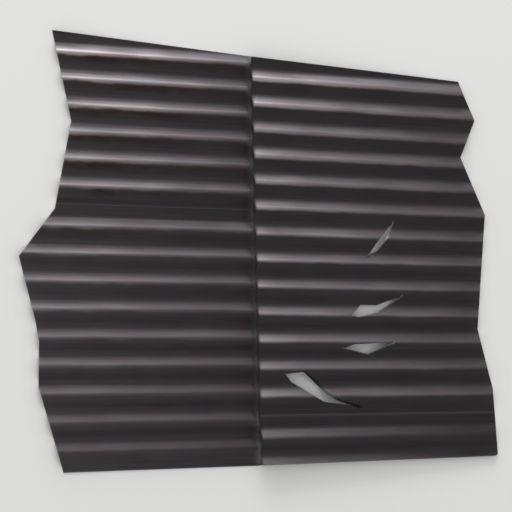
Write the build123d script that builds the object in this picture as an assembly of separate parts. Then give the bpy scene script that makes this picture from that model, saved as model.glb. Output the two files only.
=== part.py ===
"""A torn patch of corrugated metal cladding: four lapped sheets, lying on a level floor.

Millimetres, +Z up. The waves run along X. While it is drawn, X is 0 where the right-hand
sheets begin and Y is 0 at the lap between the two left-hand sheets; the finished patch is
then moved so that its origin is at the centre of its box, on the floor.
"""

from build123d import *
from math import atan2, ceil, cos, degrees, radians, sin, sqrt, tan
import os

# Rolled section, the same for every sheet
wave_pitch = 76.2
sheet_depth = 19.0
sheet_gauge = 0.8
flank_angle = 36.0

# Side laps, where two sheets of one column meet in a widened valley
lap_flat = 36.3
over_lip_width = 31.5
under_lip_width = 31.5
right_lap_drop = 583.0

# End lap, where the right-hand sheets lie on the ends of the left-hand ones
end_lap = 70.0
lower_end_step = 3.0
lap_clearance = 0.3

# Torn sides and tears lean: each lies in a plane through this point, and looks straight from it
sight_left = 972.0
sight_below = 683.5
sight_height = 3341.0

# How far the patch reaches to the left and right of the seam, half way up the waves
left_reach = 656.0
right_reach = 729.0

# Corners of the torn left side from the top down: inset from its reach, and place along Y
left_side = [(88.0, 490.0), (141.0, 232.0), (96.0, -16.0), (0.0, -149.0), (45.0, -326.0),
             (54.0, -379.0), (53.0, -499.0), (119.0, -726.0)]
left_bottom_at_seam = -722.0
left_top_at_seam = 452.0
hidden_corner_inset = 10.0

# Corners of the torn right side from the bottom up, in the same way
right_side = [(6.0, -713.0), (0.0, -707.0), (5.0, -519.0), (45.0, -342.0), (0.0, 3.0),
              (72.0, 177.0), (18.0, 295.0), (67.0, 415.0)]
right_bottom_at_seam = -722.0
right_top_at_seam = 445.0

# Tears through the right-hand sheets, each from its left tip round by its upper side
highest_tear = [(341.0, -131.0), (378.0, -83.0), (427.0, -27.0), (402.0, -80.0), (371.0, -114.0)]
second_tear = [(285.0, -304.0), (313.0, -274.0), (362.0, -275.0), (444.0, -246.0),
               (366.0, -295.0), (305.0, -308.0)]
third_tear = [(258.0, -398.0), (290.0, -388.0), (414.0, -382.0), (330.0, -415.0)]
lowest_tear = [(78.0, -471.0), (135.0, -466.0), (203.0, -529.0), (238.0, -548.0),
               (300.0, -567.0), (191.0, -550.0), (95.0, -494.0)]
tears = [highest_tear, second_tear, third_tear, lowest_tear]

# The section's bends and straight flanks follow from the pitch, depth and flank angle
flank = radians(flank_angle)
rise = sheet_depth - sheet_gauge
bend_radius = (wave_pitch / 4 * tan(flank) - rise / 2) * cos(flank) / (1 - cos(flank))
bend_run = bend_radius * sin(flank)
flank_length = 2 * (wave_pitch / 4 - bend_run) / cos(flank)
outer_radius = bend_radius + sheet_gauge / 2
inner_radius = bend_radius - sheet_gauge / 2

# Each valley beside a lap, measured from the edge of the lip on top
upper_left_valley = lap_flat - over_lip_width
lower_left_valley = -over_lip_width
upper_right_valley = upper_left_valley - right_lap_drop
lower_right_valley = lower_left_valley - right_lap_drop


def leaned(outline, eye, height):
    """The outline at another height than half way up the waves, moved along the sight lines."""
    share = (height - sheet_depth / 2) / (eye.Z - sheet_depth / 2)
    return [(x + (eye.X - x) * share, y + (eye.Y - y) * share) for x, y in outline]


# Every sheet is rolled past the patch's outline and then cut to it
sight_point = Vector(-sight_left, -sight_below, sight_height)
left_corners = [(inset - left_reach, y) for inset, y in left_side]
right_corners = [(right_reach - inset, y) for inset, y in right_side]
patch_points = left_corners + right_corners
spare = sheet_depth
far_left = -left_reach - spare
far_up = max(y for x, y in patch_points) + spare
far_down = min(y for x, y in patch_points) - spare
far_right = max(x for x, y in leaned(right_corners, sight_point, 0))


def sheet_face(first_valley, reach, over):
    """Section of one sheet in the YZ plane, from its lapped lip out to past the patch.

    The underside is drawn as one line: a flat lip, then bends and straight flanks, wave
    after wave. A lip that lies over the next sheet's is lifted by one gauge. The sheets
    with such a lip run down the patch from their lap, the others run up.
    """
    if over:
        lift_run = lap_flat - under_lip_width - lap_clearance
        lip_edge = (-over_lip_width, sheet_gauge)
        lip_foot = (-lift_run, sheet_gauge)
        line = [Line(lip_edge, lip_foot), Line(lip_foot, (0, 0))]
    else:
        line = [Line((-under_lip_width, 0), (0, 0))]
    start = (0, 0)
    waves = ceil(abs(reach - first_valley) / wave_pitch)
    for wave in range(waves):
        valley_out = JernArc(start, (1, 0), outer_radius, flank_angle)
        climb = PolarLine(valley_out @ 1, flank_length, direction=valley_out % 1)
        crest = JernArc(climb @ 1, climb % 1, inner_radius, -2 * flank_angle)
        fall = PolarLine(crest @ 1, flank_length, direction=crest % 1)
        valley_in = JernArc(fall @ 1, fall % 1, outer_radius, flank_angle)
        line += [valley_out, climb, crest, fall, valley_in]
        start = valley_in @ 1
    thickened = Wire(line).offset_2d(sheet_gauge, side=Side.RIGHT, closed=True)
    way = -1 if over else 1
    plane = Plane(origin=(0, first_valley, 0), x_dir=(0, way, 0), z_dir=(way, 0, 0))
    return plane * make_face(thickened.edges())


def cutter_section(outline, eye, height):
    """The face of the outline at one height of a cutter."""
    return Plane.XY.offset(height) * make_face(Polyline(leaned(outline, eye, height), close=True))


def cutter(outline, eye):
    """A solid of the outline that narrows towards the eye and passes right through a sheet."""
    below = cutter_section(outline, eye, -sheet_depth)
    above = cutter_section(outline, eye, 2 * sheet_depth)
    return loft([below, above], ruled=True)


def sheet(first_valley, reach, over, ends, outline, eye, holes):
    """One rolled sheet between square ends, cut to the outline and torn through by the holes."""
    start, end = ends
    section = sheet_face(first_valley, reach, over)
    rolled = Pos(X=start) * extrude(section, amount=end - start, dir=(1, 0, 0))
    cut = rolled & cutter(outline, eye)
    for hole in holes:
        cut -= cutter(hole, eye)
    return cut


def left_outline():
    """The left-hand sheets' outline, which narrows towards their hidden square ends."""
    return [
        *left_corners,
        (0, left_bottom_at_seam),
        (end_lap + spare, left_bottom_at_seam + hidden_corner_inset),
        (end_lap + spare, left_top_at_seam - hidden_corner_inset),
        (0, left_top_at_seam),
    ]


def right_outline():
    """The right-hand sheets' outline, which starts a little to the left of their square ends."""
    return [
        (-spare, right_top_at_seam),
        (-spare, right_bottom_at_seam),
        (0, right_bottom_at_seam),
        *right_corners,
        (0, right_top_at_seam),
    ]


def bend_height(run):
    """How far the section's middle line has curved away at this run from a bend's centre."""
    if run < bend_run:
        return bend_radius - sqrt(bend_radius ** 2 - run ** 2)
    return bend_radius * (1 - cos(flank)) + (run - bend_run) * tan(flank)


def column_height(y, upper_valley, lower_valley):
    """Height of a column's middle line above its valleys; it is flat across the side lap."""
    run = max(y - upper_valley, lower_valley - y, 0) % wave_pitch
    run = min(run, wave_pitch - run)
    if run < wave_pitch / 4:
        return bend_height(run)
    return rise - bend_height(wave_pitch / 2 - run)


def ride_height():
    """How high the right-hand valleys lie, resting across the left-hand sheets' crests."""
    contact_step = 0.5
    highest = 0
    for step in range(ceil((far_up - far_down) / contact_step)):
        y = far_down + step * contact_step
        left = column_height(y, upper_left_valley, lower_left_valley)
        right = column_height(y, upper_right_valley, lower_right_valley)
        highest = max(highest, left - right)
    return highest + sheet_gauge + lap_clearance


# The right-hand sheets slope from the left-hand sheets' hidden ends down to the floor
slope = degrees(atan2(ride_height(), far_right - end_lap))
settle = Pos(X=far_right) * Rot(Y=slope) * Pos(X=-far_right)
right_eye = (settle.inverse() * Pos(sight_point)).position

left_ends = (far_left, end_lap)
upper_ends = (0, far_right + spare)
lower_ends = (lower_end_step, far_right + spare)
left, right = left_outline(), right_outline()
upper_left = sheet(upper_left_valley, far_up, False, left_ends, left, sight_point, [])
lower_left = sheet(lower_left_valley, far_down, True, left_ends, left, sight_point, [])
upper_right = sheet(upper_right_valley, far_up, False, upper_ends, right, right_eye, tears)
lower_right = sheet(lower_right_valley, far_down, True, lower_ends, right, right_eye, tears)

nodes = {
    "upper_left_sheet": upper_left,
    "lower_left_sheet": lower_left,
    "upper_right_sheet": settle * upper_right,
    "lower_right_sheet": settle * lower_right,
}

box = Compound(children=[Compound(list(shape.solids())) for shape in nodes.values()]).bounding_box()
to_origin = Pos(X=-(box.min.X + box.max.X) / 2, Y=-(box.min.Y + box.max.Y) / 2, Z=-box.min.Z)

os.makedirs("parts", exist_ok=True)
for name, shape in nodes.items():
    part = to_origin * shape
    part.label = name
    export_step(part, "parts/" + name + ".step")
    print(name, len(part.solids()), "solid", round(part.volume / 1000, 1), "cm3")
print("slope", round(slope, 3), "origin at", round(-to_origin.position.X, 2),
      round(-to_origin.position.Y, 2))
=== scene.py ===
"""The looks of a torn patch of corrugated steel cladding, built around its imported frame.

Metres, +Z up. The patch lies on a level floor with its waves along X. Points of the patch
are measured as on the drawing of the real one: X is 0 where the right-hand sheets begin
and Y is 0 at the lap between the two left-hand sheets.
"""

import logging
import math
from collections.abc import Iterable
from dataclasses import dataclass, field
from enum import Enum

import bmesh
import bpy
from mathutils import Matrix, Vector, geometry, noise


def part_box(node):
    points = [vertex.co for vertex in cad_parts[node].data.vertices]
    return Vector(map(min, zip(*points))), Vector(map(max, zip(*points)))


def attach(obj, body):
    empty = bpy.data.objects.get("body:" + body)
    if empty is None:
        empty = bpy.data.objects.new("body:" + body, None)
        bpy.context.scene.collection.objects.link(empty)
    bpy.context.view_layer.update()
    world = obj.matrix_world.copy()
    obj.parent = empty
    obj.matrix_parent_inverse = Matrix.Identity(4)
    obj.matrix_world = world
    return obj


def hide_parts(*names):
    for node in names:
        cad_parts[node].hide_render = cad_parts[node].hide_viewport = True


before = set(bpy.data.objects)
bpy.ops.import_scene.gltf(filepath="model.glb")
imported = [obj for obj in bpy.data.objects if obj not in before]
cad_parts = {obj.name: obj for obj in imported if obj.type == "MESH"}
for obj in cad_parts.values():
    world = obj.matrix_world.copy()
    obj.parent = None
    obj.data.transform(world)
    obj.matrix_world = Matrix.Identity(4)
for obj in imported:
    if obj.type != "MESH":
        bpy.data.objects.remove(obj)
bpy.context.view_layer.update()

Point = tuple[float, float]
Scale = tuple[float, float, float]
Paint = tuple[float, float, float, float]
log = logging.getLogger("cladding")

# Sockets of a Mix node that mixes colours, which share their names with its other sockets
MIX_SHARE, MIX_FIRST, MIX_SECOND, MIX_RESULT = 0, 6, 7, 2


class Way(Enum):
    """Which way across the waves a sheet runs from its side lap.

    A sheet that runs up has the lip underneath, one that runs down has the lip on top.
    """

    UP = 1
    DOWN = -1


class Grain(Enum):
    """Noise that the finish is made from: its scale along X, Y and Z, and its detail."""

    STREAKS = ((2.2, 170.0, 1.0), 4.0)
    PATCHES = ((3.2, 13.0, 1.0), 3.0)
    WANDER = ((12.0, 13.0, 1.0), 2.0)
    TINTS = ((7.0, 30.0, 1.0), 3.0)
    CHILLS = ((9.0, 24.0, 1.0), 3.0)
    STAINS = ((9.0, 16.0, 1.0), 4.0)
    RUST = ((9.0, 30.0, 1.0), 5.0)
    DASHES = ((22.0, 200.0, 1.0), 2.0)
    PITTING = ((160.0, 160.0, 160.0), 3.0)


@dataclass(frozen=True)
class Corrugation:
    """The rolled section that every sheet shares: round bends joined by straight flanks.

    depth: from the underside of a valley to the top of a crest.
    pitch: from crest to crest.
    gauge: thickness of the sheet.
    flank_angle: how steep the straight flanks are.
    """

    depth: float
    pitch: float = 0.0762
    gauge: float = 0.0008
    flank_angle: float = math.radians(36.0)

    @property
    def rise(self) -> float:
        """Height of a crest's middle line above a valley's."""
        return self.depth - self.gauge

    @property
    def bend_radius(self) -> float:
        """Radius of the middle line in the crests and valleys."""
        lean = self.pitch / 4 * math.tan(self.flank_angle) - self.rise / 2
        return lean * math.cos(self.flank_angle) / (1 - math.cos(self.flank_angle))

    def bend_height(self, run: float) -> float:
        """How far the middle line has curved away from a bend's centre.

        Args:
            run: distance across the waves from the bend's centre.

        Returns:
            The height above a valley, or below a crest.
        """
        radius = self.bend_radius
        bend_run = radius * math.sin(self.flank_angle)
        if run < bend_run:
            return radius - math.sqrt(radius**2 - run**2)
        straight = (run - bend_run) * math.tan(self.flank_angle)
        return radius * (1 - math.cos(self.flank_angle)) + straight

    def height(self, run: float) -> float:
        """Height of the middle line above its valleys.

        Args:
            run: distance across the waves from the first valley, 0 or less in a flat lip.

        Returns:
            The height, 0 in a flat lip.
        """
        within = max(run, 0.0) % self.pitch
        within = min(within, self.pitch - within)
        if within < self.pitch / 4:
            return self.bend_height(within)
        return self.rise - self.bend_height(self.pitch / 2 - within)


@dataclass(frozen=True)
class Tear:
    """A tear through a sheet, with one side's lip bent down.

    outline: corners, from the left tip round by the upper side.
    bent: the first and last corner of the bent side.
    drop: how far the edge of the lip is bent down.
    bare_and_highlight: how much bare metal the bent lip shows, which also paints its highlight, from 0 to
    1.
    strip: width of that bare, highlighted strip.
    """

    outline: tuple[Point, ...]
    bent: tuple[int, int]
    drop: float
    bare_and_highlight: float
    strip: float = 0.003

    def sides(self) -> list[tuple[Vector, Vector]]:
        """The tear's straight sides, each from corner to corner."""
        return closed_sides(self.outline)

    def bent_sides(self) -> list[tuple[Vector, Vector]]:
        """The sides whose lip is bent."""
        first, last = self.bent
        return self.sides()[first:last]


@dataclass(frozen=True)
class WearAndHighlight:
    """How worn a sheet's crests are, which also paints their highlight, fading along the waves and down
    the patch.

    strength: the wear and painted highlight at the start and the top, without the crown.
    along: distance from the start at which the wear and painted highlight have faded out.
    top: Y from which down and crown_reach are measured.
    down: distance below the top at which the wear and painted highlight have faded out.
    crown: how much brighter the worn crests and their painted highlight are at the top.
    crown_reach: how far down that fades.
    end: how much brighter the worn crests and their painted highlight are near the sheet's square end.
    end_reach: how far from the square end that fades.
    run_in: how far from the square end the wear and painted highlight are full, 0 where the end is
    hidden.
    patchiness: how much the wear and painted highlight come and go along each crest.
    patch_length: size of its patches along the waves.
    patch_width: their size across the waves.
    seed: which patches it has.
    """

    strength: float
    along: float
    top: float
    down: float
    crown: float = 0.0
    crown_reach: float = 0.03
    end: float = 0.0
    end_reach: float = 0.03
    run_in: float = 0.0
    patchiness: float = 0.0
    patch_length: float = 0.16
    patch_width: float = 0.07
    seed: float = 0.0

    def at(self, along: float, y: float) -> float:
        """The wear and painted highlight at a spot.

        Args:
            along: distance along the waves from the start.
            y: the spot's Y on the drawing.

        Returns:
            The wear and painted highlight, where 1 is bright metal.
        """
        # The wear also paints the crests' highlight, brighter at the start, the top and the square end
        below = max(self.top - y, 0.0)
        wear_and_highlight = self.strength * max(1 - along / self.along, 0.0) * max(1 - below / self.down, 0.0)
        wear_and_highlight *= 1 + self.crown * math.exp(-below / self.crown_reach)
        wear_and_highlight *= 1 + self.end * math.exp(-max(along, 0.0) / self.end_reach)
        patch = Vector((along / self.patch_length, y / self.patch_width, self.seed))
        wear_and_highlight *= max(1 + self.patchiness * noise.noise(patch), 0.0)
        return wear_and_highlight * eased(along / self.run_in) if self.run_in else wear_and_highlight


def flat(point: Point) -> Vector:
    """A point of the drawing as a vector on the floor."""
    return Vector((point[0], point[1], 0.0))


def closed_sides(points: Iterable[Point]) -> list[tuple[Vector, Vector]]:
    """The sides of a closed outline, each from corner to corner."""
    corners = [flat(point) for point in points]
    return list(zip(corners, corners[1:] + corners[:1]))


def gap_to(spot: Vector, sides: Iterable[tuple[Vector, Vector]]) -> float:
    """Distance from a spot to the nearest of some straight sides.

    Args:
        spot: a place on the drawing.
        sides: the sides, each from corner to corner.

    Returns:
        The distance, infinite where there are no sides.
    """
    nearest = math.inf
    for start, end in sides:
        _, share = geometry.intersect_point_line(spot, start, end)
        share = min(max(share, 0.0), 1.0)
        nearest = min(nearest, (spot - start.lerp(end, share)).length)
    return nearest


def encloses(sides: Iterable[tuple[Vector, Vector]], spot: Vector) -> bool:
    """Whether a closed outline goes round a spot.

    Args:
        sides: the outline's sides, each from corner to corner.
        spot: a place on the drawing.

    Returns:
        True inside the outline.
    """
    inside = False
    for start, end in sides:
        if (start.y > spot.y) != (end.y > spot.y):
            share = (spot.y - start.y) / (end.y - start.y)
            if spot.x < start.x + share * (end.x - start.x):
                inside = not inside
    return inside


def eased(share: float) -> float:
    """A share from 0 to 1, eased in and out."""
    share = min(max(share, 0.0), 1.0)
    return share * share * (3 - 2 * share)


@dataclass
class CorrugatedSheet:
    """One rolled sheet: a flat blank that is cut, torn, bent into waves and dented.

    name: the CAD node that the sheet stands for.
    section: its rolled section.
    way: which way it runs from its side lap.
    first_valley: where the first wave rises, beside the flat lip.
    lip_width: width of the flat lip.
    lift: how high the lip is lifted, to lie on the next sheet's.
    outline: corners of its half of the patch, with the torn side.
    ends: X of the blank's two ends, before it is torn.
    square_end: X of its one end that still has its factory cut.
    start: X from which the wear and painted highlight fade.
    wear_and_highlight: how worn the crests are, with their painted highlight.
    settle: the move from the drawing to the sheet's place in the patch.
    eye: the point that every torn side is cut towards, before the sheet is settled.
    sheltered: whether dust and painted light lie along the end, under the sheets on top.
    tears: the tears through it.
    seed: which dents it has.
    rows_a_wave: rows of faces across one wave.
    column: spacing of the columns of faces along the waves.
    edge_band: width of the worn edge along the outline, a faint painted highlight.
    lip_band: width of the worn edge along the flat lip, a faint painted highlight.
    dust_and_light_band: how far the dust and painted light reach out from under the sheets on top.
    torn_lip: width of a tear's bent lip.
    lift_run: width of the bend that lifts the lip.
    merge_gap: corners nearer than this are merged after the cuts.
    calm_ends: X between which a sheet has no dents, where two sheets lie on each other.
    calm_fade: how far from there the dents start.
    """

    name: str
    section: Corrugation
    way: Way
    first_valley: float
    lip_width: float
    lift: float
    outline: tuple[Point, ...]
    ends: tuple[float, float]
    square_end: float
    start: float
    wear_and_highlight: WearAndHighlight
    settle: Matrix
    eye: Vector
    sheltered: bool = False
    tears: tuple[Tear, ...] = ()
    seed: float = 0.0
    rows_a_wave: int = 20
    column: float = 0.008
    edge_band: float = 0.004
    lip_band: float = 0.004
    dust_and_light_band: float = 0.016
    torn_lip: float = 0.006
    lift_run: float = 0.0045
    merge_gap: float = 0.0003
    calm_ends: tuple[float, float] = (-0.03, 0.11)
    calm_fade: float = 0.03
    blank: bmesh.types.BMesh = field(default_factory=bmesh.new)

    @property
    def row(self) -> float:
        """Spacing of the rows across the waves."""
        return self.section.pitch / self.rows_a_wave

    def run(self, y: float) -> float:
        """Distance across the waves from the first valley, negative in the flat lip."""
        return (y - self.first_valley) * self.way.value

    def build(self) -> bpy.types.Object:
        """Makes the sheet's mesh in its place.

        Returns:
            The sheet as an object at the origin.
        """
        self.rule_blank()
        self.cut_lip()
        self.roll_waves()
        self.cut_outline()
        for tear in self.tears:
            self.cut_tear(tear)
        bmesh.ops.remove_doubles(self.blank, verts=self.blank.verts, dist=self.merge_gap)
        self.mark_finish()
        self.dent()
        self.bend_torn_lips()
        self.thicken()
        mesh = bpy.data.meshes.new(self.name + "_rolled")
        self.blank.to_mesh(mesh)
        self.blank.free()
        mesh.transform(self.settle)
        rolled = bpy.data.objects.new(self.name + "_rolled", mesh)
        bpy.context.scene.collection.objects.link(rolled)
        return rolled

    def rule_blank(self) -> None:
        """Rules the flat blank into columns along the waves and rows across them."""
        across = [self.run(y) for _, y in self.outline]
        left, right = self.ends
        lip_rows = math.ceil(self.lip_width / self.row)
        wave_rows = math.ceil((max(across) + self.section.depth) / self.row)
        near = self.first_valley - self.way.value * lip_rows * self.row
        far = self.first_valley + self.way.value * wave_rows * self.row
        middle = Vector(((left + right) / 2, (near + far) / 2, 0.0))
        size = Vector((right - left, abs(far - near), 1.0))
        bmesh.ops.create_grid(
            self.blank,
            x_segments=math.ceil((right - left) / self.column),
            y_segments=lip_rows + wave_rows,
            size=0.5,
            matrix=Matrix.LocRotScale(middle, None, size),
        )

    def seen(self, spot: Vector) -> Vector:
        """Where a spot shows from the eye, on the drawing's level half way up the waves.

        Args:
            spot: a place on the rolled sheet.

        Returns:
            The place on the drawing.
        """
        level = self.section.depth / 2
        shown = self.eye + (spot - self.eye) * ((self.eye.z - level) / (self.eye.z - spot.z))
        return Vector((shown.x, shown.y, 0.0))

    def score(self, start: Vector, end: Vector, upright: bool = False) -> None:
        """Cuts the faces that a line crosses, between its ends.

        Args:
            start: one end of the line, on the drawing.
            end: its other end.
            upright: whether the cut goes straight down, and not towards the eye.
        """
        level = Vector((0.0, 0.0, self.section.depth / 2))
        along = (end - start).normalized()
        sight = Vector((0.0, 0.0, 1.0)) if upright else self.eye - start - level
        across = sight.cross(along).normalized()
        length = (end - start).length
        reach = 2 * self.column
        snap = 1e-6
        crossed = []
        for face in self.blank.faces:
            middle = face.calc_center_median() - start - level
            if abs(middle.dot(across)) > reach or not -reach < middle.dot(along) < length + reach:
                continue
            sides = [(vert.co - start - level).dot(across) for vert in face.verts]
            places = [(self.seen(vert.co) - start).dot(along) for vert in face.verts]
            if min(sides) < 0 < max(sides) and max(places) > 0 and min(places) < length:
                crossed.append(face)
        edges = {edge for face in crossed for edge in face.edges}
        verts = {vert for face in crossed for vert in face.verts}
        bmesh.ops.bisect_plane(
            self.blank,
            geom=[*verts, *edges, *crossed],
            dist=snap,
            plane_co=start + level,
            plane_no=across,
        )

    def score_beside(self, start: Vector, end: Vector, distance: float) -> None:
        """Cuts along a line beside a side, on both hands.

        Args:
            start: one end of the side.
            end: its other end.
            distance: how far beside it.
        """
        along = (end - start).normalized()
        across = Vector((-along.y, along.x, 0.0))
        for hand in (-distance, distance):
            shift = across * hand
            self.score(start - along * distance + shift, end + along * distance + shift)

    def drop_faces(self, unwanted: list[bmesh.types.BMFace]) -> None:
        """Takes faces off the blank, with what only they used."""
        bmesh.ops.delete(self.blank, geom=unwanted, context="FACES")

    def cut_lip(self) -> None:
        """Cuts the flat lip to its width, with a row near its edge and one where it lifts."""
        lip_edge = self.first_valley - self.way.value * self.lip_width
        left, right = self.ends
        rows = [lip_edge, lip_edge + self.way.value * self.lip_band]
        if self.lift:
            rows.append(self.first_valley - self.way.value * self.lift_run)
        for y in rows:
            self.score(Vector((left, y, 0.0)), Vector((right, y, 0.0)), upright=True)
        beyond = []
        for face in self.blank.faces:
            if self.run(face.calc_center_median().y) < -self.lip_width:
                beyond.append(face)
        self.drop_faces(beyond)

    def roll_waves(self) -> None:
        """Bends the flat blank into waves, and lifts a lip that lies on another."""
        for vert in self.blank.verts:
            run = self.run(vert.co.y)
            lift = self.lift * min(max(-run / self.lift_run, 0.0), 1.0)
            vert.co.z = self.section.gauge / 2 + self.section.height(run) + lift
        self.blank.normal_update()

    def cut_outline(self) -> None:
        """Cuts the rolled sheet to its torn outline, with a row beside its square end."""
        sides = closed_sides(self.outline)
        reach = max(abs(y) for _, y in self.outline) + self.section.depth
        for x in (self.square_end - self.edge_band, self.square_end + self.edge_band):
            self.score(Vector((x, -reach, 0.0)), Vector((x, reach, 0.0)), upright=True)
        for start, end in sides:
            self.score_beside(start, end, self.edge_band)
            self.score(start, end)
        outside = []
        for face in self.blank.faces:
            if not encloses(sides, self.seen(face.calc_center_median())):
                outside.append(face)
        self.drop_faces(outside)

    def cut_tear(self, tear: Tear) -> None:
        """Cuts a tear through the sheet, with finer rows in the lips beside it.

        Args:
            tear: the tear to cut.
        """
        sides = tear.sides()
        for start, end in sides:
            self.score_beside(start, end, self.torn_lip)
            self.score_beside(start, end, self.torn_lip / 2)
            self.score(start, end)
        hole = []
        for face in self.blank.faces:
            if encloses(sides, self.seen(face.calc_center_median())):
                hole.append(face)
        self.drop_faces(hole)

    def mark_finish(self) -> None:
        """Writes where the finish is worn, polished or torn, with the painted highlight along the crests
        and painted light at the seam, for the material to read.
        """
        layers = self.blank.verts.layers.float
        wave, edge, dust_and_painted_light = layers.new("wave"), layers.new("edge"), layers.new("dust_and_painted_light")
        polish_and_highlight, bare_and_highlight = layers.new("polish_and_highlight"), layers.new("bare_and_highlight")
        lip_edge = self.first_valley - self.way.value * self.lip_width
        sides = closed_sides(self.outline)
        for vert in self.blank.verts:
            spot = self.seen(vert.co)
            vert[wave] = max(self.run(vert.co.y), 0.0) * self.way.value / self.section.pitch
            side_gap, lip_gap = gap_to(spot, sides), abs(vert.co.y - lip_edge)
            vert[edge] = min(side_gap / self.edge_band, lip_gap / self.lip_band, 1.0)
            # The tears' bent lips are bare metal that also paints their highlight
            for tear in self.tears:
                torn_gap = gap_to(spot, tear.bent_sides())
                vert[bare_and_highlight] = max(vert[bare_and_highlight], tear.bare_and_highlight * (1 - eased(torn_gap / tear.strip)))
            # Dust and painted light along the end, under the sheets on top
            vert[dust_and_painted_light] = eased(vert.co.x / self.dust_and_light_band + 1) if self.sheltered else 0.0
            # The polish also paints the crests' highlight, fading along the waves and down the patch
            vert[polish_and_highlight] = self.wear_and_highlight.at(spot.x - self.start, spot.y)

    def dent(self) -> None:
        """Leaves the shallow dents and waviness that thin sheet picks up."""
        sway_depth, sway_length, sway_width = 0.0006, 0.16, 0.045
        knock_depth, knock_length, knock_width = 0.0003, 0.05, 0.02
        calm_run = 0.02
        knock_seed = self.seed + 9
        first, last = self.calm_ends
        pushes = []
        for vert in self.blank.verts:
            x, y, _ = vert.co
            sway = noise.noise(Vector((x / sway_length, y / sway_width, self.seed)))
            knock = noise.noise(Vector((x / knock_length, y / knock_width, knock_seed)))
            calm = eased(self.run(y) / calm_run)
            calm *= 1 - eased((x - first) / self.calm_fade) * eased((last - x) / self.calm_fade)
            pushes.append((sway * sway_depth + knock * knock_depth) * calm)
        for vert, push in zip(self.blank.verts, pushes):
            vert.co += vert.normal * push
            vert.co.z = max(vert.co.z, self.section.gauge / 2)

    def bend_torn_lips(self) -> None:
        """Bends the lip along one side of each tear down, more towards its edge."""
        curl = 1.5
        for tear in self.tears:
            for vert in self.blank.verts:
                gap = gap_to(self.seen(vert.co), tear.bent_sides())
                if gap < self.torn_lip:
                    vert.co.z -= tear.drop * (1 - gap / self.torn_lip) ** curl

    def thicken(self) -> None:
        """Gives the sheet its gauge about the middle surface, and keeps its rims sharp."""
        sharp = math.radians(35.0)
        self.blank.normal_update()
        for vert in self.blank.verts:
            vert.co += vert.normal * (self.section.gauge / 2)
        bmesh.ops.solidify(self.blank, geom=self.blank.faces[:], thickness=self.section.gauge)
        self.blank.normal_update()
        for face in self.blank.faces:
            face.smooth = True
        for edge in self.blank.edges:
            edge.smooth = edge.calc_face_angle(0.0) < sharp


class Signal:
    """A shader value that takes part in plain expressions, each adding its Math node."""

    def __init__(self, shading: "Shading", socket: bpy.types.NodeSocket) -> None:
        """Wraps an output socket."""
        self.shading = shading
        self.socket = socket

    def combine(self, operation: str, *values: "Signal | float") -> "Signal":
        """Adds a Math node.

        Args:
            operation: the Math node's operation.
            values: its operands, links or numbers.

        Returns:
            The node's result.
        """
        inputs = dict(enumerate(values))
        return self.shading.add("ShaderNodeMath", {"operation": operation}, inputs)

    def __add__(self, other: "Signal | float") -> "Signal":
        """self + other."""
        return self.combine("ADD", self, other)

    def __radd__(self, other: float) -> "Signal":
        """other + self."""
        return self.combine("ADD", other, self)

    def __sub__(self, other: "Signal | float") -> "Signal":
        """self - other."""
        return self.combine("SUBTRACT", self, other)

    def __rsub__(self, other: float) -> "Signal":
        """other - self."""
        return self.combine("SUBTRACT", other, self)

    def __mul__(self, other: "Signal | float") -> "Signal":
        """self * other."""
        return self.combine("MULTIPLY", self, other)

    def __rmul__(self, other: float) -> "Signal":
        """other * self."""
        return self.combine("MULTIPLY", other, self)

    def clamped(self) -> "Signal":
        """The value held between 0 and 1."""
        return self.combine("MINIMUM", self.combine("MAXIMUM", self, 0.0), 1.0)

    def fraction(self) -> "Signal":
        """What is left of the value past its whole number."""
        return self.combine("FRACT", self)

    def size(self) -> "Signal":
        """The value without its sign."""
        return self.combine("ABSOLUTE", self)

    def step(self, low: float, high: float) -> "Signal":
        """Eases from 0 at low to 1 at high.

        Args:
            low: where the result is 0.
            high: where the result is 1, which may be the lower number.

        Returns:
            The eased share.
        """
        settings = {"interpolation_type": "SMOOTHSTEP"}
        inputs = {"Value": self, "From Min": low, "From Max": high}
        if low > high:
            inputs = {"Value": self, "From Min": high, "From Max": low, "To Min": 1.0, "To Max": 0.0}
        return self.shading.add("ShaderNodeMapRange", settings, inputs)


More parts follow.
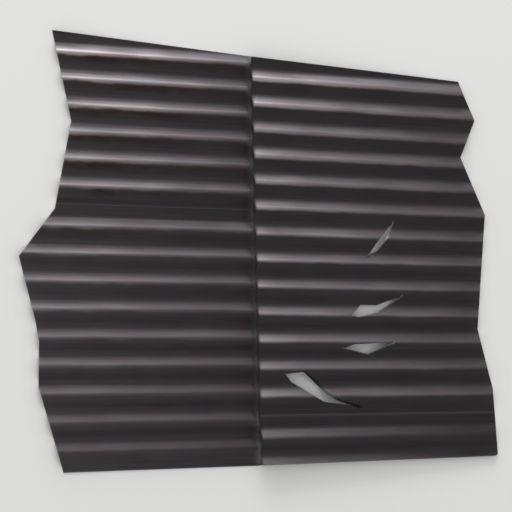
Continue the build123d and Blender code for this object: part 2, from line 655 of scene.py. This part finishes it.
class Shading:
    """A material's node tree, with one method that adds any node."""

    def __init__(self, name: str) -> None:
        """Starts a material that holds only its surface shader and output.

        Args:
            name: the material's name.
        """
        self.material = bpy.data.materials.new(name)
        self.material.use_nodes = True
        self.tree = self.material.node_tree
        self.surface = self.tree.nodes["Principled BSDF"]

    def add(self, kind: str, settings: dict, inputs: dict, output: int | str = 0) -> Signal:
        """Adds a node.

        Args:
            kind: the node's type.
            settings: its own settings, set first.
            inputs: values or links, by socket name or number.
            output: the output that is wanted, by name or number.

        Returns:
            That output.
        """
        node = self.tree.nodes.new(kind)
        for setting, value in settings.items():
            setattr(node, setting, value)
        for socket, value in inputs.items():
            self.feed(node.inputs[socket], value)
        return Signal(self, node.outputs[output])

    def feed(self, socket: bpy.types.NodeSocket, value: object) -> None:
        """Links a signal to a socket, or sets the socket's own value.

        Args:
            socket: an input of a node.
            value: a signal, or a number, colour or vector.
        """
        if isinstance(value, Signal):
            self.tree.links.new(value.socket, socket)
        else:
            socket.default_value = value

    def dress(self, inputs: dict) -> bpy.types.Material:
        """Feeds the surface shader and hands over the finished material.

        Args:
            inputs: values or links, by the surface shader's socket names.

        Returns:
            The material.
        """
        for socket, value in inputs.items():
            self.feed(self.surface.inputs[socket], value)
        return self.material

    def attribute(self, name: str) -> Signal:
        """A number that the sheet's mesh carries."""
        return self.add("ShaderNodeAttribute", {"attribute_name": name}, {}, "Fac")

    def place(self) -> Signal:
        """The object's own coordinates."""
        return self.add("ShaderNodeTexCoord", {}, {}, "Object")

    def axis(self, name: str) -> Signal:
        """One of the object's own coordinates, in metres."""
        return self.add("ShaderNodeSeparateXYZ", {}, {"Vector": self.place()}, name)

    def stretched(self, scale: Scale) -> Signal:
        """The object's own coordinates, scaled along each axis."""
        return self.add("ShaderNodeMapping", {}, {"Vector": self.place(), "Scale": scale})

    def cloud(self, grain: Grain) -> Signal:
        """Soft noise from 0 to 1, which is 0.5 on average.

        Args:
            grain: which noise.

        Returns:
            The noise.
        """
        scale, detail = grain.value
        inputs = {"Vector": self.stretched(scale), "Scale": 1.0, "Detail": detail}
        return self.add("ShaderNodeTexNoise", {}, inputs, "Fac")

    def blend(self, share: Signal | float, first: Signal | Paint, second: Signal | Paint) -> Signal:
        """Mixes two colours, from the first at 0 to the second at 1."""
        inputs = {MIX_SHARE: share, MIX_FIRST: first, MIX_SECOND: second}
        return self.add("ShaderNodeMix", {"data_type": "RGBA"}, inputs, MIX_RESULT)

    def tint(self, share: Signal | float, first: Signal | Paint, second: Signal | Paint) -> Signal:
        """Tints the first colour with the second, fully at 1.

        Args:
            share: how much it is tinted, from 0 to 1.
            first: the colour that is tinted.
            second: the tint, white for none.

        Returns:
            The tinted colour.
        """
        settings = {"data_type": "RGBA", "blend_type": "MULTIPLY"}
        inputs = {MIX_SHARE: share, MIX_FIRST: first, MIX_SECOND: second}
        return self.add("ShaderNodeMix", settings, inputs, MIX_RESULT)


class SheetSignals:
    """Places on a sheet and noise along its waves, which the layers of the finish share.

    along: X, from the patch's left side to its right.
    upper: 0 in the lower part of the patch and 1 in its upper part.
    older: 0 on the right and 1 at the left side, which is the most weathered.
    wave: waves from the side lap, 0 in the flat lip.
    phase: share of a wave, 0 in a valley, 0.5 on a crest's top and more on its upper side.
    below, above: the phase, shifted as the lower and upper edges of the worn band, a painted highlight,
    move.
    under_crest: the flank below each crest.
    streaks: fine streaks along the waves.
    patches: long soft patches along the waves.
    """

    def __init__(self, shading: Shading) -> None:
        """Adds the nodes that the layers share.

        Args:
            shading: the node tree of the sheets' finish.
        """
        self.shading = shading
        self.along = shading.axis("X")
        self.upper = shading.axis("Y").step(-0.1, 0.3)
        self.older = self.along.step(0.1, -0.6)
        self.wave = shading.attribute("wave")
        self.phase = self.wave.fraction()
        # The worn band, which paints the crests' highlight, wanders up and down by a share of a wave,
        # more where it is older
        wobble = (0.08 + 0.12 * self.older) * (shading.cloud(Grain.WANDER) - 0.5)
        # On the right-hand sheets it lies lower on the top crests and higher on the rest
        right = self.along.step(-0.045, -0.035)
        drift = right * (0.055 * self.upper - 0.035)
        self.below = self.phase + wobble + (0.045 * self.upper - 0.015) + drift
        # Its upper edge rises to the right, where the highlight that it paints moves as the view changes,
        # and is a little higher in the patch's upper part
        rise = 0.11 * self.along + (0.01 + 0.015 * self.upper)
        self.above = self.phase + 0.5 * wobble - rise + 0.8 * drift
        self.under_crest = self.phase.step(0.16, 0.36) * self.phase.step(0.46, 0.40)
        self.streaks = shading.cloud(Grain.STREAKS)
        self.patches = shading.cloud(Grain.PATCHES)


def colour(red: float, green: float, blue: float) -> Paint:
    """A solid colour."""
    return (red, green, blue, 1.0)


@dataclass(frozen=True)
class WeatheredSteel:
    """Dark weathered steel, worn bright along the crests as a painted highlight, with grime, painted
    shade and rust beneath them.

    dull_left, dull_right: the dull metal at the patch's left and right, darker at the right as painted
    shade.
    dark_streak, painted_lap_shade, warm, cool, brown: tints for parts of it, the second a painted shade
    in the lips.
    worn_highlight, bare_and_highlight: metal that is worn bright, and metal that a tear has bared, both
    also painted highlight.
    grime_and_shade, rust, dust_and_painted_light, deep_dust_and_painted_light: what lies on it, with
    painted shade in the grime and painted light in the dust at the seam.
    dull_roughness, worn_roughness, rust_roughness: of the dull metal, the worn metal and rust.
    metalness: how metallic the clean metal is.
    relief_strength, relief_height: of the streaks and the pitting.
    """

    dull_left: Paint = colour(0.0620, 0.0560, 0.0590)
    dull_right: Paint = colour(0.0410, 0.0370, 0.0395)
    dark_streak: Paint = colour(0.86, 0.86, 0.86)
    painted_lap_shade: Paint = colour(0.80, 0.80, 0.80)
    warm: Paint = colour(1.0, 0.915, 0.925)
    cool: Paint = colour(0.94, 0.96, 1.0)
    brown: Paint = colour(1.0, 0.90, 0.85)
    worn_highlight: Paint = colour(0.30, 0.275, 0.284)
    grime_and_shade: Paint = colour(0.032, 0.027, 0.026)
    rust: Paint = colour(0.035, 0.025, 0.020)
    dust_and_painted_light: Paint = colour(0.038, 0.035, 0.036)
    deep_dust_and_painted_light: Paint = colour(0.060, 0.056, 0.058)
    bare_and_highlight: Paint = colour(0.30, 0.28, 0.29)
    dull_roughness: float = 0.50
    worn_roughness: float = 0.42
    rust_roughness: float = 0.7
    metalness: float = 0.92
    relief_strength: float = 0.12
    relief_height: float = 0.0006

    def dress(self, sheet: bpy.types.Object) -> None:
        """Gives a sheet this finish."""
        sheet.data.materials.append(self.material())

    def material(self) -> bpy.types.Material:
        """Builds the finish.

        Returns:
            The finished material, made once and then shared.
        """
        known = bpy.data.materials.get("weathered_steel_finish")
        if known:
            return known
        shading = Shading("weathered_steel_finish")
        spots = SheetSignals(shading)
        worn_highlight, rusty = self.worn_highlight_share(spots), self.rusty_share(spots)
        # Dust along the left-hand sheets' ends, which also paints light into the shade under the
        # right-hand sheets
        settled = shading.attribute("dust_and_painted_light")
        dust_and_light = self.dust_and_light_share(spots, settled)
        tone = self.metal_tone(spots)
        # Grime, with painted shade under the crests and beside the left-hand lap
        tone = shading.blend(self.grime_and_shade_share(spots), tone, self.grime_and_shade)
        tone = shading.blend(rusty, tone, self.rust)
        # Metal worn bright along the crests, which also paints their highlight
        tone = shading.blend(worn_highlight, tone, self.worn_highlight)
        tone = self.tinted(spots, tone)
        # Bare metal that paints the highlight on the tears' lips and along the edges
        tone = shading.blend(self.bare_and_highlight_share(spots), tone, self.bare_and_highlight)
        # Dust at the seam, and paler dust deep under the lap, both paint light into the shade there
        tone = shading.blend(dust_and_light, tone, self.dust_and_painted_light)
        tone = shading.blend(settled.step(0.85, 1.0), tone, self.deep_dust_and_painted_light)
        return shading.dress(
            {
                "Base Color": tone,
                "Roughness": self.roughness(spots, worn_highlight, rusty),
                "Metallic": (self.metalness - 0.1 * rusty) * (1.0 - dust_and_light),
                "Normal": self.relief(spots),
            }
        )

    def worn_highlight_share(self, spots: SheetSignals) -> Signal:
        """How bright a spot is worn: a band on each crest's upper side, with a brighter lower line, which
        paints the crests' highlight.

        Args:
            spots: the places and noise on the sheet.

        Returns:
            The share, from 0 to 1.
        """
        lower_edge = spots.below.step(0.44, 0.56) * (0.80 + 0.20 * spots.below.step(0.68, 0.58))
        upper_edge = 0.82 * spots.above.step(0.92, 0.72) + 0.18 * spots.above.step(1.10, 0.87)
        polish_and_highlight = spots.shading.attribute("polish_and_highlight") * (0.6 + 0.8 * spots.patches)
        return (lower_edge * upper_edge * polish_and_highlight).clamped()

    def rusty_share(self, spots: SheetSignals) -> Signal:
        """How rusty a spot is: blots under the crests, and stained lines under the upper left ones.

        Args:
            spots: the places and noise on the sheet.

        Returns:
            The share, from 0 to 1.
        """
        blots = spots.under_crest * spots.shading.cloud(Grain.RUST).step(0.57, 0.70)
        blots = blots * (0.10 + 0.5 * spots.older * spots.upper)
        stains = spots.shading.cloud(Grain.STAINS).step(0.42, 0.58)
        lines = spots.phase.step(0.14, 0.38) * spots.below.step(0.49, 0.42) * stains
        lines = lines * (1.5 * spots.older * spots.upper).clamped()
        return (blots + 0.95 * lines).clamped()

    def grime_and_shade_share(self, spots: SheetSignals) -> Signal:
        """How grimy and shaded a spot is: grime and painted shade under the crests, painted shade beside
        the left-hand lap, and grime in short dashes.

        Args:
            spots: the places and noise on the sheet.

        Returns:
            The share, from 0 to 1.
        """
        # Grime and painted shade on the flank below each crest, which faces away from the key light
        under = spots.under_crest * (0.10 + 0.40 * spots.upper)
        # Painted shade on the sheet beneath, just above the left-hand lap's edge
        shade_beside_lap = spots.wave.step(0.0, 0.03) * spots.wave.step(0.17, 0.12)
        shade_beside_lap = shade_beside_lap * spots.along.step(0.0, -0.04)
        dashes = spots.shading.cloud(Grain.DASHES).step(0.66, 0.78)
        return (under + 0.7 * shade_beside_lap + 0.5 * dashes).clamped()

    def bare_and_highlight_share(self, spots: SheetSignals) -> Signal:
        """How bare a spot is, which also paints a highlight: the bent lips of the tears, and faintly all
        along the edges.
        """
        # A faint painted highlight all along the edges
        rim_highlight = 0.12 * spots.shading.attribute("edge").step(1.0, 0.0)
        return (spots.shading.attribute("bare_and_highlight") + rim_highlight).clamped()

    def dust_and_light_share(self, spots: SheetSignals, settled: Signal) -> Signal:
        """How dusty a spot is, less on a crest than in a valley; the dust paints light into the shade at
        the seam, and shade over the crests' highlights there.
        """
        crest = spots.phase.step(0.40, 0.50) * spots.phase.step(0.95, 0.85)
        return settled * (1.0 - crest) + settled.step(0.5, 1.0) * crest

    def metal_tone(self, spots: SheetSignals) -> Signal:
        """The dull metal's colour, with painted shade that darkens it to the right and in the lips, and
        darker streaks.

        Args:
            spots: the places and noise on the sheet.

        Returns:
            The colour.
        """
        shading = spots.shading
        # Painted shade: darker towards the right, and darker still past X 0.1
        tone = shading.blend(spots.along.step(-0.85, 0.10), self.dull_left, self.dull_right)
        tone = shading.blend(0.30 * spots.along.step(0.1, 0.9), tone, self.grime_and_shade)
        tone = shading.tint(spots.streaks.step(0.60, 0.40), tone, self.dark_streak)
        # Painted shade in the flat lips at the laps, fading over the first fifth of a wave
        return shading.tint(spots.wave.size().step(0.2, 0.0), tone, self.painted_lap_shade)

    def tinted(self, spots: SheetSignals, tone: Signal) -> Signal:
        """The colour with warm and cool patches, and brown below the crests.

        Args:
            spots: the places and noise on the sheet.
            tone: the colour so far.

        Returns:
            The tinted colour.
        """
        shading = spots.shading
        tone = shading.tint(shading.cloud(Grain.TINTS).step(0.48, 0.60), tone, self.warm)
        tone = shading.tint(shading.cloud(Grain.CHILLS).step(0.50, 0.60), tone, self.cool)
        fringe = spots.phase.step(0.28, 0.40) * spots.phase.step(0.58, 0.48)
        fringe = fringe * (0.10 + spots.upper * (0.30 + 0.6 * spots.older))
        return shading.tint(fringe, tone, self.brown)

    def roughness(self, spots: SheetSignals, worn_highlight: Signal, rusty: Signal) -> Signal:
        """The roughness: smoother where the metal is worn, rougher where it is rusty.

        Args:
            spots: the places and noise on the sheet.
            worn_highlight: how bright a spot is worn, which also paints the crests' highlight.
            rusty: how rusty it is.

        Returns:
            The roughness.
        """
        dull = self.dull_roughness + 0.12 * (spots.streaks - 0.5) + 0.10 * (spots.patches - 0.5)
        shine = (self.dull_roughness - self.worn_roughness) * worn_highlight
        return dull - shine + (self.rust_roughness - self.dull_roughness) * rusty

    def relief(self, spots: SheetSignals) -> Signal:
        """The fine relief of streaks and pitting.

        Args:
            spots: the places and noise on the sheet.

        Returns:
            The bumped normal.
        """
        height = spots.streaks * 0.4 + spots.shading.cloud(Grain.PITTING) * 0.6
        inputs = {"Strength": self.relief_strength, "Distance": self.relief_height, "Height": height}
        return spots.shading.add("ShaderNodeBump", {}, inputs)


@dataclass
class CladdingPatch:
    """The whole patch: two lapped sheets on the left, and two on the right lying on their ends.

    pitch, gauge: of the rolled section.
    lap_flat: width of the flat valley that two sheets share at a side lap.
    over_lip: width of the flat lip on top there.
    under_lip: width of the flat lip beneath.
    right_lap_drop: how far the right-hand lap lies below the left-hand one.
    end_lap: how far the left-hand sheets reach under the right-hand ones.
    hidden_inset: how far their corners are drawn in there.
    lower_end_step: how far the lower right sheet starts from the seam.
    lap_gap: air between two lips.
    spare: how far blanks and outlines reach past where they are cut.
    left_fade, right_fade: X from which the wear and painted highlight of the sheets on each side fade.
    left_top, left_bottom, right_top, right_bottom: Y of the outline's corners at the seam.
    torn_left: corners of the torn left side, from the top down.
    torn_right: corners of the torn right side, from the bottom up.
    """

    pitch: float = 0.0762
    gauge: float = 0.0008
    lap_flat: float = 0.0363
    over_lip: float = 0.0315
    under_lip: float = 0.0315
    right_lap_drop: float = 0.583
    end_lap: float = 0.07
    hidden_inset: float = 0.01
    lower_end_step: float = 0.003
    lap_gap: float = 0.00005
    spare: float = 0.019
    left_fade: float = -0.6
    right_fade: float = 0.0
    left_top: float = 0.452
    left_bottom: float = -0.722
    right_top: float = 0.445
    right_bottom: float = -0.722
    torn_left: tuple[Point, ...] = (
        (-0.568, 0.490),
        (-0.515, 0.232),
        (-0.560, -0.016),
        (-0.656, -0.149),
        (-0.611, -0.326),
        (-0.602, -0.379),
        (-0.603, -0.499),
        (-0.537, -0.726),
    )
    torn_right: tuple[Point, ...] = (
        (0.723, -0.713),
        (0.729, -0.707),
        (0.724, -0.519),
        (0.684, -0.342),
        (0.729, 0.003),
        (0.657, 0.177),
        (0.711, 0.295),
        (0.662, 0.415),
    )

    def tears(self) -> tuple[Tear, ...]:
        """The four tears through the upper right sheet.

        Returns:
            The tears, from the highest down.
        """
        highest = Tear(
            outline=((0.341, -0.131), (0.378, -0.083), (0.427, -0.027), (0.402, -0.080), (0.371, -0.114)),
            bent=(2, 5),
            drop=0.0025,
            bare_and_highlight=0.9,
        )
        second = Tear(
            outline=(
                (0.285, -0.304),
                (0.313, -0.274),
                (0.362, -0.275),
                (0.444, -0.246),
                (0.366, -0.295),
                (0.305, -0.308),
            ),
            bent=(3, 6),
            drop=0.0015,
            bare_and_highlight=0.5,
        )
        third = Tear(
            outline=((0.258, -0.398), (0.290, -0.388), (0.414, -0.382), (0.330, -0.415)),
            bent=(2, 4),
            drop=0.0015,
            bare_and_highlight=0.5,
        )
        lowest = Tear(
            outline=(
                (0.078, -0.471),
                (0.135, -0.466),
                (0.203, -0.529),
                (0.238, -0.548),
                (0.300, -0.567),
                (0.191, -0.550),
                (0.095, -0.494),
            ),
            bent=(1, 4),
            drop=0.006,
            bare_and_highlight=0.0,
        )
        return (highest, second, third, lowest)

    def left_outline(self) -> tuple[Point, ...]:
        """Outline of the left-hand sheets, which narrows towards their hidden square ends.

        Returns:
            The corners, anticlockwise from the torn side's top.
        """
        past_end = self.end_lap + self.spare
        return (
            *self.torn_left,
            (0.0, self.left_bottom),
            (past_end, self.left_bottom + self.hidden_inset),
            (past_end, self.left_top - self.hidden_inset),
            (0.0, self.left_top),
        )

    def right_outline(self) -> tuple[Point, ...]:
        """Outline of the right-hand sheets, from a little to the left of their square ends.

        Returns:
            The corners, anticlockwise from the seam's top.
        """
        return (
            (0.0, self.right_top),
            (-self.spare, self.right_top),
            (-self.spare, self.right_bottom),
            (0.0, self.right_bottom),
            *self.torn_right,
        )

    def section(self) -> Corrugation:
        """The rolled section, as deep as the frame's flat sheets."""
        low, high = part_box("upper_left_sheet")
        return Corrugation(depth=round(high.z - low.z, 4), pitch=self.pitch, gauge=self.gauge)

    def to_frame(self) -> Matrix:
        """The move from the drawing's origin to the frame's, taken from one sheet's square corner."""
        _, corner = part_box("lower_left_sheet")
        return Matrix.Translation((corner.x - self.end_lap, corner.y, 0.0))

    def settled(self, section: Corrugation, eye: Vector) -> Matrix:
        """The turn that lays the right-hand sheets' far end on the floor.

        Args:
            section: their rolled section.
            eye: the point that every torn side is cut towards.

        Returns:
            The turn, on the drawing.
        """
        _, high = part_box("upper_right_sheet")
        level = section.depth / 2
        feet = [(x - eye.x) * level / (eye.z - level) + x for x, _ in self.torn_right]
        pivot = Matrix.Translation((max(feet), 0.0, 0.0))
        slope = math.asin((high.z - section.depth) / max(feet))
        return pivot @ Matrix.Rotation(slope, 4, "Y") @ pivot.inverted()

    def wear_and_highlight(self) -> dict[str, WearAndHighlight]:
        """How worn each sheet's crests are, with their painted highlight, by its name.

        Returns:
            The wear and painted highlight of the four sheets.
        """
        return {
            "upper_left_sheet": WearAndHighlight(
                strength=0.52,
                along=0.783,
                top=0.490,
                down=6.0,
                crown=2.4,
                crown_reach=0.147,
                patchiness=0.45,
                patch_length=0.12,
                patch_width=0.06,
                seed=23317.01,
            ),
            "lower_left_sheet": WearAndHighlight(
                strength=0.61,
                along=1.243,
                top=0.490,
                down=1.164,
                patchiness=0.5,
                seed=869.62,
            ),
            "upper_right_sheet": WearAndHighlight(
                strength=0.64,
                along=1.112,
                top=0.445,
                down=2.2,
                crown=2.4,
                crown_reach=0.06,
                end=0.56,
                run_in=0.010,
                patchiness=0.43,
                seed=1439.97,
            ),
            "lower_right_sheet": WearAndHighlight(
                strength=0.28,
                along=0.638,
                top=-0.583,
                down=0.42,
                end=0.5,
                run_in=0.010,
                patchiness=0.3,
                seed=5.0,
            ),
        }

    def sheets(self) -> list[CorrugatedSheet]:
        """The four sheets, each with its lip, outline and tears.

        Returns:
            The sheets, not built yet.
        """
        section, wear_and_highlight = self.section(), self.wear_and_highlight()
        eye = Vector(PhotoCamera().place)
        to_frame, turn = self.to_frame(), self.settled(section, eye)
        far_left = min(x for x, _ in self.torn_left) - self.spare
        far_right = max(x for x, _ in self.torn_right) + self.spare
        upper_valley = self.lap_flat - self.over_lip
        lower_valley = -self.over_lip
        left_column = {
            "section": section,
            "outline": self.left_outline(),
            "ends": (far_left, self.end_lap),
            "square_end": self.end_lap,
            "start": self.left_fade,
            "settle": to_frame,
            "eye": eye,
            "sheltered": True,
        }
        right_column = {
            "section": section,
            "outline": self.right_outline(),
            "start": self.right_fade,
            "settle": to_frame @ turn,
            "eye": turn.inverted() @ eye,
        }
        lip_beneath = {"way": Way.UP, "lip_width": self.under_lip, "lift": 0.0}
        lip_on_top = {"way": Way.DOWN, "lip_width": self.over_lip, "lift": self.gauge + self.lap_gap}
        return [
            CorrugatedSheet(
                name="upper_left_sheet",
                first_valley=upper_valley,
                wear_and_highlight=wear_and_highlight["upper_left_sheet"],
                seed=1.0,
                **left_column,
                **lip_beneath,
            ),
            CorrugatedSheet(
                name="lower_left_sheet",
                first_valley=lower_valley,
                wear_and_highlight=wear_and_highlight["lower_left_sheet"],
                seed=2.0,
                **left_column,
                **lip_on_top,
            ),
            CorrugatedSheet(
                name="upper_right_sheet",
                first_valley=upper_valley - self.right_lap_drop,
                ends=(0.0, far_right),
                square_end=0.0,
                wear_and_highlight=wear_and_highlight["upper_right_sheet"],
                tears=self.tears(),
                seed=3.0,
                **right_column,
                **lip_beneath,
            ),
            CorrugatedSheet(
                name="lower_right_sheet",
                first_valley=lower_valley - self.right_lap_drop,
                ends=(self.lower_end_step, far_right),
                square_end=self.lower_end_step,
                wear_and_highlight=wear_and_highlight["lower_right_sheet"],
                seed=4.0,
                # A wider worn edge along this lip, a painted highlight
                lip_band=0.010,
                **right_column,
                **lip_on_top,
            ),
        ]

    def build(self) -> None:
        """Builds the sheets, dresses them and lets them stand for their CAD nodes."""
        finish = WeatheredSteel()
        for sheet in self.sheets():
            rolled = sheet.build()
            finish.dress(rolled)
            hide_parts(sheet.name)
            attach(rolled, "root")
            faces = len(rolled.data.polygons)
            log.info("%s: %d faces, %d tears", rolled.name, faces, len(sheet.tears))


@dataclass(frozen=True)
class PaleFloor:
    """A wide plain floor in pale matt paint.

    side: length of a side.
    drop: how far it lies below the patch, so that their faces stay apart.
    paint, roughness: of its surface.
    """

    side: float = 40.0
    drop: float = 0.0005
    paint: Paint = colour(0.74, 0.74, 0.73)
    roughness: float = 0.9

    def build(self) -> None:
        """Lays the floor just under the patch."""
        flat_floor = bmesh.new()
        middle = Matrix.Translation((0.0, 0.0, -self.drop))
        bmesh.ops.create_grid(flat_floor, x_segments=1, y_segments=1, size=self.side / 2, matrix=middle)
        mesh = bpy.data.meshes.new("floor")
        flat_floor.to_mesh(mesh)
        flat_floor.free()
        floor = bpy.data.objects.new("floor", mesh)
        bpy.context.scene.collection.objects.link(floor)
        shading = Shading("pale_matt_paint")
        mesh.materials.append(shading.dress({"Base Color": self.paint, "Roughness": self.roughness}))
        log.info("floor: %.0f m a side", self.side)


@dataclass(frozen=True)
class Softbox:
    """A large soft lamp that looks at the middle of the patch.

    name: of the lamp in the scene.
    bearing: degrees from +Y towards +X.
    height: degrees above the floor.
    distance: how far away it hangs.
    width, length: of its bright face.
    power: watts.
    """

    name: str
    bearing: float
    height: float
    distance: float
    width: float
    length: float
    power: float

    def build(self) -> None:
        """Hangs the lamp and aims it."""
        lamp = bpy.data.lights.new(self.name, "AREA")
        lamp.shape = "RECTANGLE"
        lamp.size, lamp.size_y = self.width, self.length
        lamp.energy = self.power
        holder = bpy.data.objects.new(self.name, lamp)
        bearing, height = math.radians(self.bearing), math.radians(self.height)
        level = math.cos(height)
        away = Vector((math.sin(bearing) * level, math.cos(bearing) * level, math.sin(height)))
        holder.location = away * self.distance
        holder.rotation_euler = away.to_track_quat("Z", "Y").to_euler()
        holder.visible_camera = False
        bpy.context.scene.collection.objects.link(holder)
        log.info("%s: %.0f W", self.name, self.power)


@dataclass(frozen=True)
class Studio:
    """A plain pale room: even light all round and one large softbox beyond the patch's top.

    surround: how bright the even light is, where 1 is white.
    """

    surround: float = 0.8

    def build(self) -> None:
        """Lights the room and lays its floor."""
        world = bpy.data.worlds.new("studio")
        world.use_nodes = True
        background = world.node_tree.nodes["Background"]
        background.inputs["Color"].default_value = colour(self.surround, self.surround, self.surround)
        bpy.context.scene.world = world
        bpy.context.scene.view_settings.view_transform = "Standard"
        PaleFloor().build()
        key = Softbox("key", bearing=-6.0, height=21.0, distance=9.0, width=7.5, length=3.4, power=450.0)
        key.build()


@dataclass(frozen=True)
class PhotoCamera:
    """The photograph's view: from the lower left, well above the patch.

    place: where the camera stands, on the drawing.
    swing, nod, roll: degrees turned about Y, X and the view, from looking straight down.
    focal_pixels: focal length in pixels of the square picture.
    picture: width of that picture in pixels.
    sensor: width of the sensor in millimetres.
    """

    place: tuple[float, float, float] = (-0.9720, -0.6835, 3.3410)
    swing: float = -16.38
    nod: float = 8.96
    roll: float = -1.45
    focal_pixels: float = 1240.0
    picture: float = 512.0
    sensor: float = 36.0

    def build(self, to_frame: Matrix) -> None:
        """Sets up the scene's camera.

        Args:
            to_frame: the move from the drawing's origin to the frame's.
        """
        lens = bpy.data.cameras.new("photo_camera")
        lens.sensor_width = self.sensor
        lens.lens = self.sensor * self.focal_pixels / self.picture
        camera = bpy.data.objects.new("photo_camera", lens)
        turn = Matrix.Rotation(math.radians(self.swing), 4, "Y")
        turn = turn @ Matrix.Rotation(math.radians(self.nod), 4, "X")
        turn = turn @ Matrix.Rotation(math.radians(self.roll), 4, "Z")
        camera.matrix_world = to_frame @ Matrix.Translation(self.place) @ turn
        bpy.context.scene.collection.objects.link(camera)
        bpy.context.scene.camera = camera
        log.info("camera: %.1f mm lens", lens.lens)


def main() -> None:
    """Builds the patch, then the room around it and the camera."""
    logging.basicConfig(level=logging.INFO, format="%(name)s %(message)s")
    patch = CladdingPatch()
    patch.build()
    Studio().build()
    PhotoCamera().build(patch.to_frame())


if __name__ == "__main__":
    main()
